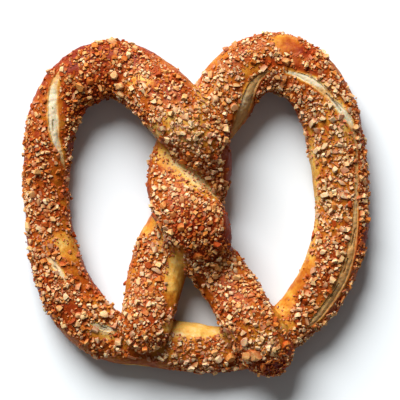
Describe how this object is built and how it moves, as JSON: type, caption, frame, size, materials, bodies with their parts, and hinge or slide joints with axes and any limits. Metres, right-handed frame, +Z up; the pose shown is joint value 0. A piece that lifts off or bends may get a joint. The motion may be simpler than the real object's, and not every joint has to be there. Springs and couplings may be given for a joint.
{
  "type": "pretzel",
  "caption": "Soft twisted pretzel of one dough rope, baked golden brown with burst seams and covered in chopped nuts.",
  "frame": {"origin": "centre of the bounding box, at the level of the tray that the pretzel lies on", "axes": "+Z up from the tray, +Y from the bottom bar towards the two lobes, +X to the right with the lobes at the top"},
  "size_m": [0.1678, 0.1662, 0.0361],
  "materials": {
    "crust": "baked crust, golden to reddish brown, slightly glossy",
    "nuts": "chopped nut pieces, cream to toasted tan, matt"
  },
  "bodies": {
    "root": {"pretzel": "crust"}
  },
  "joints": []
}
